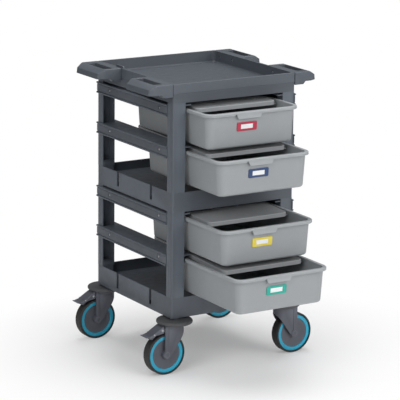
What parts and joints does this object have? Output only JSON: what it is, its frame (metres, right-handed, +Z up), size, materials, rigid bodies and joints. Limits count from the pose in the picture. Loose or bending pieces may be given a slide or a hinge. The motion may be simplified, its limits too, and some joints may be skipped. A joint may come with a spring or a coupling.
{
  "type": "service cart",
  "caption": "Moulded service cart with a deep top tray, corner handles, sliding drawers with lids and label frames, and swivel castors, braked on one side.",
  "frame": {"origin": "on the floor, under the middle of the box round the cart as it stands, with its drawers pulled out; the middle of the body is 138 mm behind it", "axes": "+Z up, the drawer fronts face -Y, and +X is on the right of someone who stands in front of the drawers and faces them"},
  "size_m": [0.6739, 0.8848, 1.0079],
  "materials": {
    "frame_plastic": "fine-grained moulded anthracite",
    "drawer_plastic": "satin mid grey",
    "lid_plastic": "satin mid grey",
    "bumper_rubber": "matt dark grey",
    "castor_plastic": "satin anthracite",
    "hub_plastic": "satin anthracite",
    "ring_blue": "smooth cyan blue",
    "tyre": "matt black",
    "steel": "zinc plated",
    "label_red": "gloss red",
    "label_blue": "gloss dark blue",
    "label_yellow": "gloss yellow",
    "label_green": "gloss sea green",
    "card": "blank white card"
  },
  "bodies": {
    "frame": {"base_platform": "frame_plastic", "middle_platform": "frame_plastic", "top_tray": "frame_plastic", "lower_columns": "frame_plastic", "upper_columns": "frame_plastic", "upper_side_rails": "frame_plastic", "lower_side_rails": "frame_plastic", "upper_drawer_runners": "frame_plastic", "lower_drawer_runners": "frame_plastic", "rail_screws": "steel", "handle_front_left": "frame_plastic", "handle_front_right": "frame_plastic", "handle_rear_left": "frame_plastic", "handle_rear_right": "frame_plastic", "handle_screws": "steel", "bumper_front_left": "bumper_rubber", "bumper_front_right": "bumper_rubber", "bumper_rear_left": "bumper_rubber", "bumper_rear_right": "bumper_rubber", "castor_stems": "steel"},
    "drawer_1": {"drawer_1": "drawer_plastic", "label_holder_1": "label_red", "label_card_1": "card"},
    "lid_1": {"lid_1": "lid_plastic"},
    "drawer_2": {"drawer_2": "drawer_plastic", "label_holder_2": "label_blue", "label_card_2": "card"},
    "lid_2": {"lid_2": "lid_plastic"},
    "drawer_3": {"drawer_3": "drawer_plastic", "label_holder_3": "label_yellow", "label_card_3": "card"},
    "lid_3": {"lid_3": "lid_plastic"},
    "drawer_4": {"drawer_4": "drawer_plastic", "label_holder_4": "label_green", "label_card_4": "card"},
    "lid_4": {"lid_4": "lid_plastic"},
    "castor_front_left": {"fork_front_left": "castor_plastic", "axle_front_left": "castor_plastic", "pedal_pin_front_left": "steel"},
    "wheel_front_left": {"hub_front_left": "hub_plastic", "ring_front_left": "ring_blue", "tyre_front_left": "tyre"},
    "pedal_front_left": {"brake_pedal_front_left": "castor_plastic"},
    "castor_front_right": {"fork_front_right": "castor_plastic", "axle_front_right": "castor_plastic"},
    "wheel_front_right": {"hub_front_right": "hub_plastic", "ring_front_right": "ring_blue", "tyre_front_right": "tyre"},
    "castor_rear_left": {"fork_rear_left": "castor_plastic", "axle_rear_left": "castor_plastic", "pedal_pin_rear_left": "steel"},
    "wheel_rear_left": {"hub_rear_left": "hub_plastic", "ring_rear_left": "ring_blue", "tyre_rear_left": "tyre"},
    "pedal_rear_left": {"brake_pedal_rear_left": "castor_plastic"},
    "castor_rear_right": {"fork_rear_right": "castor_plastic", "axle_rear_right": "castor_plastic"},
    "wheel_rear_right": {"hub_rear_right": "hub_plastic", "ring_rear_right": "ring_blue", "tyre_rear_right": "tyre"}
  },
  "joints": [
    {"name": "drawer_1_slide", "type": "slide", "parent": "frame", "child": "drawer_1", "axis": [0, -1, 0], "range_m": [-0.125, 0.275]},
    {"name": "lid_1_slide", "type": "slide", "parent": "drawer_1", "child": "lid_1", "axis": [0, -1, 0], "range_m": [0, 0.08]},
    {"name": "drawer_2_slide", "type": "slide", "parent": "frame", "child": "drawer_2", "axis": [0, -1, 0], "range_m": [-0.201, 0.199]},
    {"name": "lid_2_slide", "type": "slide", "parent": "drawer_2", "child": "lid_2", "axis": [0, -1, 0], "range_m": [0, 0.09]},
    {"name": "drawer_3_slide", "type": "slide", "parent": "frame", "child": "drawer_3", "axis": [0, -1, 0], "range_m": [-0.231, 0.169]},
    {"name": "lid_3_slide", "type": "slide", "parent": "drawer_3", "child": "lid_3", "axis": [0, -1, 0], "range_m": [0, 0.102]},
    {"name": "drawer_4_slide", "type": "slide", "parent": "frame", "child": "drawer_4", "axis": [0, -1, 0], "range_m": [-0.322, 0.078]},
    {"name": "lid_4_slide", "type": "slide", "parent": "drawer_4", "child": "lid_4", "axis": [0, -1, 0], "range_m": [0, 0.095]},
    {"name": "swivel_front_left", "type": "hinge", "parent": "frame", "child": "castor_front_left", "pos_m": [-0.2198, -0.10425, 0.175], "axis": [0, 0, 1], "continuous": true},
    {"name": "wheel_front_left_spin", "type": "hinge", "parent": "castor_front_left", "child": "wheel_front_left", "pos_m": [-0.2598, -0.10425, 0.0725], "axis": [0, 1, 0], "continuous": true},
    {"name": "brake_front_left_press", "type": "hinge", "parent": "castor_front_left", "child": "pedal_front_left", "pos_m": [-0.2788, -0.10425, 0.1598], "axis": [0, -1, 0], "range_deg": [0, 6]},
    {"name": "swivel_front_right", "type": "hinge", "parent": "frame", "child": "castor_front_right", "pos_m": [0.2198, -0.10425, 0.175], "axis": [0, 0, 1], "continuous": true},
    {"name": "wheel_front_right_spin", "type": "hinge", "parent": "castor_front_right", "child": "wheel_front_right", "pos_m": [0.2598, -0.10425, 0.0725], "axis": [0, 1, 0], "continuous": true},
    {"name": "swivel_rear_left", "type": "hinge", "parent": "frame", "child": "castor_rear_left", "pos_m": [-0.2198, 0.37995, 0.175], "axis": [0, 0, 1], "continuous": true},
    {"name": "wheel_rear_left_spin", "type": "hinge", "parent": "castor_rear_left", "child": "wheel_rear_left", "pos_m": [-0.2598, 0.37995, 0.0725], "axis": [0, 1, 0], "continuous": true},
    {"name": "brake_rear_left_press", "type": "hinge", "parent": "castor_rear_left", "child": "pedal_rear_left", "pos_m": [-0.2788, 0.37995, 0.1598], "axis": [0, -1, 0], "range_deg": [0, 6]},
    {"name": "swivel_rear_right", "type": "hinge", "parent": "frame", "child": "castor_rear_right", "pos_m": [0.2198, 0.37995, 0.175], "axis": [0, 0, 1], "continuous": true},
    {"name": "wheel_rear_right_spin", "type": "hinge", "parent": "castor_rear_right", "child": "wheel_rear_right", "pos_m": [0.2598, 0.37995, 0.0725], "axis": [0, 1, 0], "continuous": true}
  ]
}
